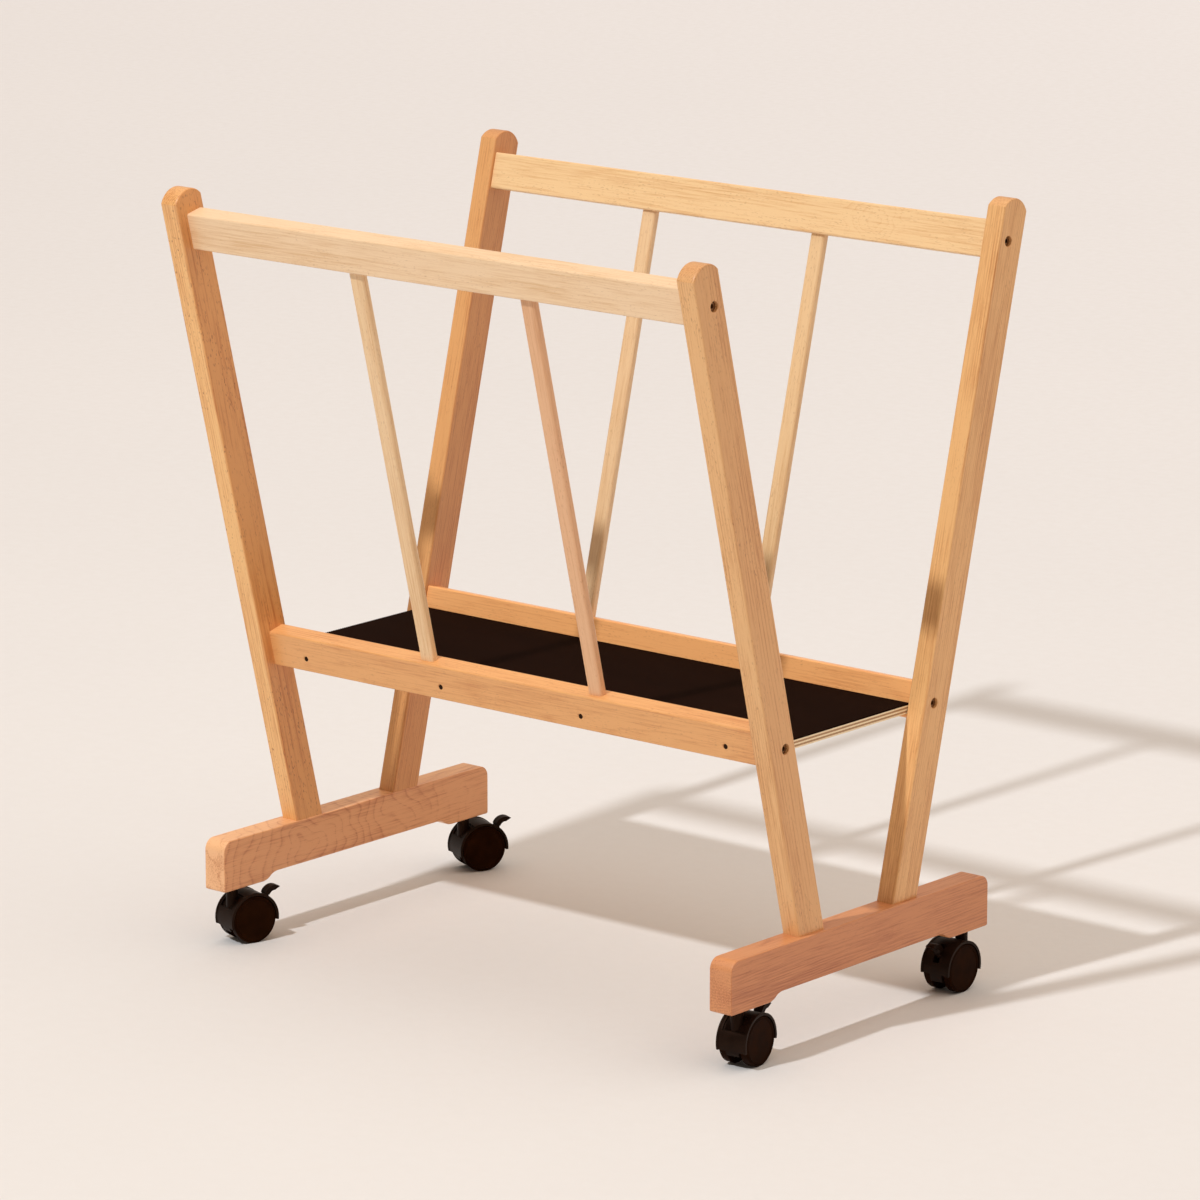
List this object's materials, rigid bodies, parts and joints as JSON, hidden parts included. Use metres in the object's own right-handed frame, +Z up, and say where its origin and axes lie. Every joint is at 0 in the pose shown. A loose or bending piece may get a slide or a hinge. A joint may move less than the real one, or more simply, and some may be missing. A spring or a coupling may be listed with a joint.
{
  "type": "wheeled print rack",
  "caption": "Wheeled wooden print rack: leaning slatted frames over a matted shelf hold prints upright, on hooded swivel casters with brake levers.",
  "frame": {"origin": "on the floor, under the middle of the rack", "axes": "+X along the rails to the rack's right side, +Y from the front frame to the back frame, +Z up"},
  "size_m": [0.7251, 0.5348, 0.8177],
  "materials": {
    "beech": "clear satin lacquer over pale beech",
    "red_beech": "clear satin lacquer over steamed, redder beech",
    "plywood": "sanded plywood with bare edges",
    "dowel_wood": "bare beech",
    "ribbed_mat": "finely ribbed black-brown mat",
    "black_steel": "black oxide steel",
    "zinc_steel": "bright zinc plate",
    "caster_black": "black-brown moulded nylon, slightly glossy",
    "wheel_black": "black-brown moulded nylon"
  },
  "bodies": {
    "root": {"left_foot_beam": "red_beech", "right_foot_beam": "red_beech", "front_left_post": "beech", "front_right_post": "beech", "back_left_post": "beech", "back_right_post": "beech", "front_top_rail": "beech", "front_bottom_rail": "beech", "back_top_rail": "beech", "back_bottom_rail": "beech", "front_left_slat": "beech", "front_right_slat": "beech", "back_left_slat": "beech", "back_right_slat": "beech", "shelf_board": "plywood", "shelf_mat": "ribbed_mat", "rail_bolts": "black_steel", "rail_inserts": "zinc_steel", "rail_dowels": "dowel_wood", "foot_bolts": "black_steel", "foot_inserts": "zinc_steel", "shelf_screws": "black_steel", "front_left_caster_socket": "zinc_steel", "front_left_caster_stem": "zinc_steel", "front_right_caster_socket": "zinc_steel", "front_right_caster_stem": "zinc_steel", "back_left_caster_socket": "zinc_steel", "back_left_caster_stem": "zinc_steel", "back_right_caster_socket": "zinc_steel", "back_right_caster_stem": "zinc_steel"},
    "front_left_caster": {"front_left_caster_hood": "caster_black", "front_left_caster_axle": "zinc_steel", "front_left_caster_lever_pin": "zinc_steel"},
    "front_left_caster_left_wheel": {"front_left_caster_left_wheel": "wheel_black"},
    "front_left_caster_right_wheel": {"front_left_caster_right_wheel": "wheel_black"},
    "front_left_caster_lever": {"front_left_caster_lever": "caster_black"},
    "front_right_caster": {"front_right_caster_hood": "caster_black", "front_right_caster_axle": "zinc_steel", "front_right_caster_lever_pin": "zinc_steel"},
    "front_right_caster_left_wheel": {"front_right_caster_left_wheel": "wheel_black"},
    "front_right_caster_right_wheel": {"front_right_caster_right_wheel": "wheel_black"},
    "front_right_caster_lever": {"front_right_caster_lever": "caster_black"},
    "back_left_caster": {"back_left_caster_hood": "caster_black", "back_left_caster_axle": "zinc_steel", "back_left_caster_lever_pin": "zinc_steel"},
    "back_left_caster_left_wheel": {"back_left_caster_left_wheel": "wheel_black"},
    "back_left_caster_right_wheel": {"back_left_caster_right_wheel": "wheel_black"},
    "back_left_caster_lever": {"back_left_caster_lever": "caster_black"},
    "back_right_caster": {"back_right_caster_hood": "caster_black", "back_right_caster_axle": "zinc_steel", "back_right_caster_lever_pin": "zinc_steel"},
    "back_right_caster_left_wheel": {"back_right_caster_left_wheel": "wheel_black"},
    "back_right_caster_right_wheel": {"back_right_caster_right_wheel": "wheel_black"},
    "back_right_caster_lever": {"back_right_caster_lever": "caster_black"}
  },
  "joints": [
    {"name": "front_left_caster_swivel", "type": "hinge", "parent": "root", "child": "front_left_caster", "pos_m": [-0.343, -0.185, 0.0615], "axis": [0, 0, 1], "continuous": true},
    {"name": "front_left_caster_left_wheel_spin", "type": "hinge", "parent": "front_left_caster", "child": "front_left_caster_left_wheel", "pos_m": [-0.33804, -0.1677, 0.0255], "axis": [0.9613, -0.2756, 0], "continuous": true},
    {"name": "front_left_caster_right_wheel_spin", "type": "hinge", "parent": "front_left_caster", "child": "front_left_caster_right_wheel", "pos_m": [-0.33804, -0.1677, 0.0255], "axis": [0.9613, -0.2756, 0], "continuous": true},
    {"name": "front_left_caster_lever_hinge", "type": "hinge", "parent": "front_left_caster", "child": "front_left_caster_lever", "pos_m": [-0.33294, -0.14991, 0.041], "axis": [0.9613, -0.2756, 0], "range_deg": [-18, 0]},
    {"name": "front_right_caster_swivel", "type": "hinge", "parent": "root", "child": "front_right_caster", "pos_m": [0.343, -0.185, 0.0615], "axis": [0, 0, 1], "continuous": true},
    {"name": "front_right_caster_left_wheel_spin", "type": "hinge", "parent": "front_right_caster", "child": "front_right_caster_left_wheel", "pos_m": [0.34112, -0.1671, 0.0255], "axis": [0.9945, 0.1045, 0], "continuous": true},
    {"name": "front_right_caster_right_wheel_spin", "type": "hinge", "parent": "front_right_caster", "child": "front_right_caster_right_wheel", "pos_m": [0.34112, -0.1671, 0.0255], "axis": [0.9945, 0.1045, 0], "continuous": true},
    {"name": "front_right_caster_lever_hinge", "type": "hinge", "parent": "front_right_caster", "child": "front_right_caster_lever", "pos_m": [0.33919, -0.1487, 0.041], "axis": [0.9945, 0.1045, 0], "range_deg": [-18, 0]},
    {"name": "back_left_caster_swivel", "type": "hinge", "parent": "root", "child": "back_left_caster", "pos_m": [-0.343, 0.185, 0.0615], "axis": [0, 0, 1], "continuous": true},
    {"name": "back_left_caster_left_wheel_spin", "type": "hinge", "parent": "back_left_caster", "child": "back_left_caster_left_wheel", "pos_m": [-0.33568, 0.20144, 0.0255], "axis": [0.9135, -0.4067, 0], "continuous": true},
    {"name": "back_left_caster_right_wheel_spin", "type": "hinge", "parent": "back_left_caster", "child": "back_left_caster_right_wheel", "pos_m": [-0.33568, 0.20144, 0.0255], "axis": [0.9135, -0.4067, 0], "continuous": true},
    {"name": "back_left_caster_lever_hinge", "type": "hinge", "parent": "back_left_caster", "child": "back_left_caster_lever", "pos_m": [-0.32815, 0.21834, 0.041], "axis": [0.9135, -0.4067, 0], "range_deg": [-18, 0]},
    {"name": "back_right_caster_swivel", "type": "hinge", "parent": "root", "child": "back_right_caster", "pos_m": [0.343, 0.185, 0.0615], "axis": [0, 0, 1], "continuous": true},
    {"name": "back_right_caster_left_wheel_spin", "type": "hinge", "parent": "back_right_caster", "child": "back_right_caster_left_wheel", "pos_m": [0.34331, 0.167, 0.0255], "axis": [-0.9998, -0.0175, 0], "continuous": true},
    {"name": "back_right_caster_right_wheel_spin", "type": "hinge", "parent": "back_right_caster", "child": "back_right_caster_right_wheel", "pos_m": [0.34331, 0.167, 0.0255], "axis": [-0.9998, -0.0175, 0], "continuous": true},
    {"name": "back_right_caster_lever_hinge", "type": "hinge", "parent": "back_right_caster", "child": "back_right_caster_lever", "pos_m": [0.34364, 0.14851, 0.041], "axis": [-0.9998, -0.0175, 0], "range_deg": [-18, 0]}
  ]
}
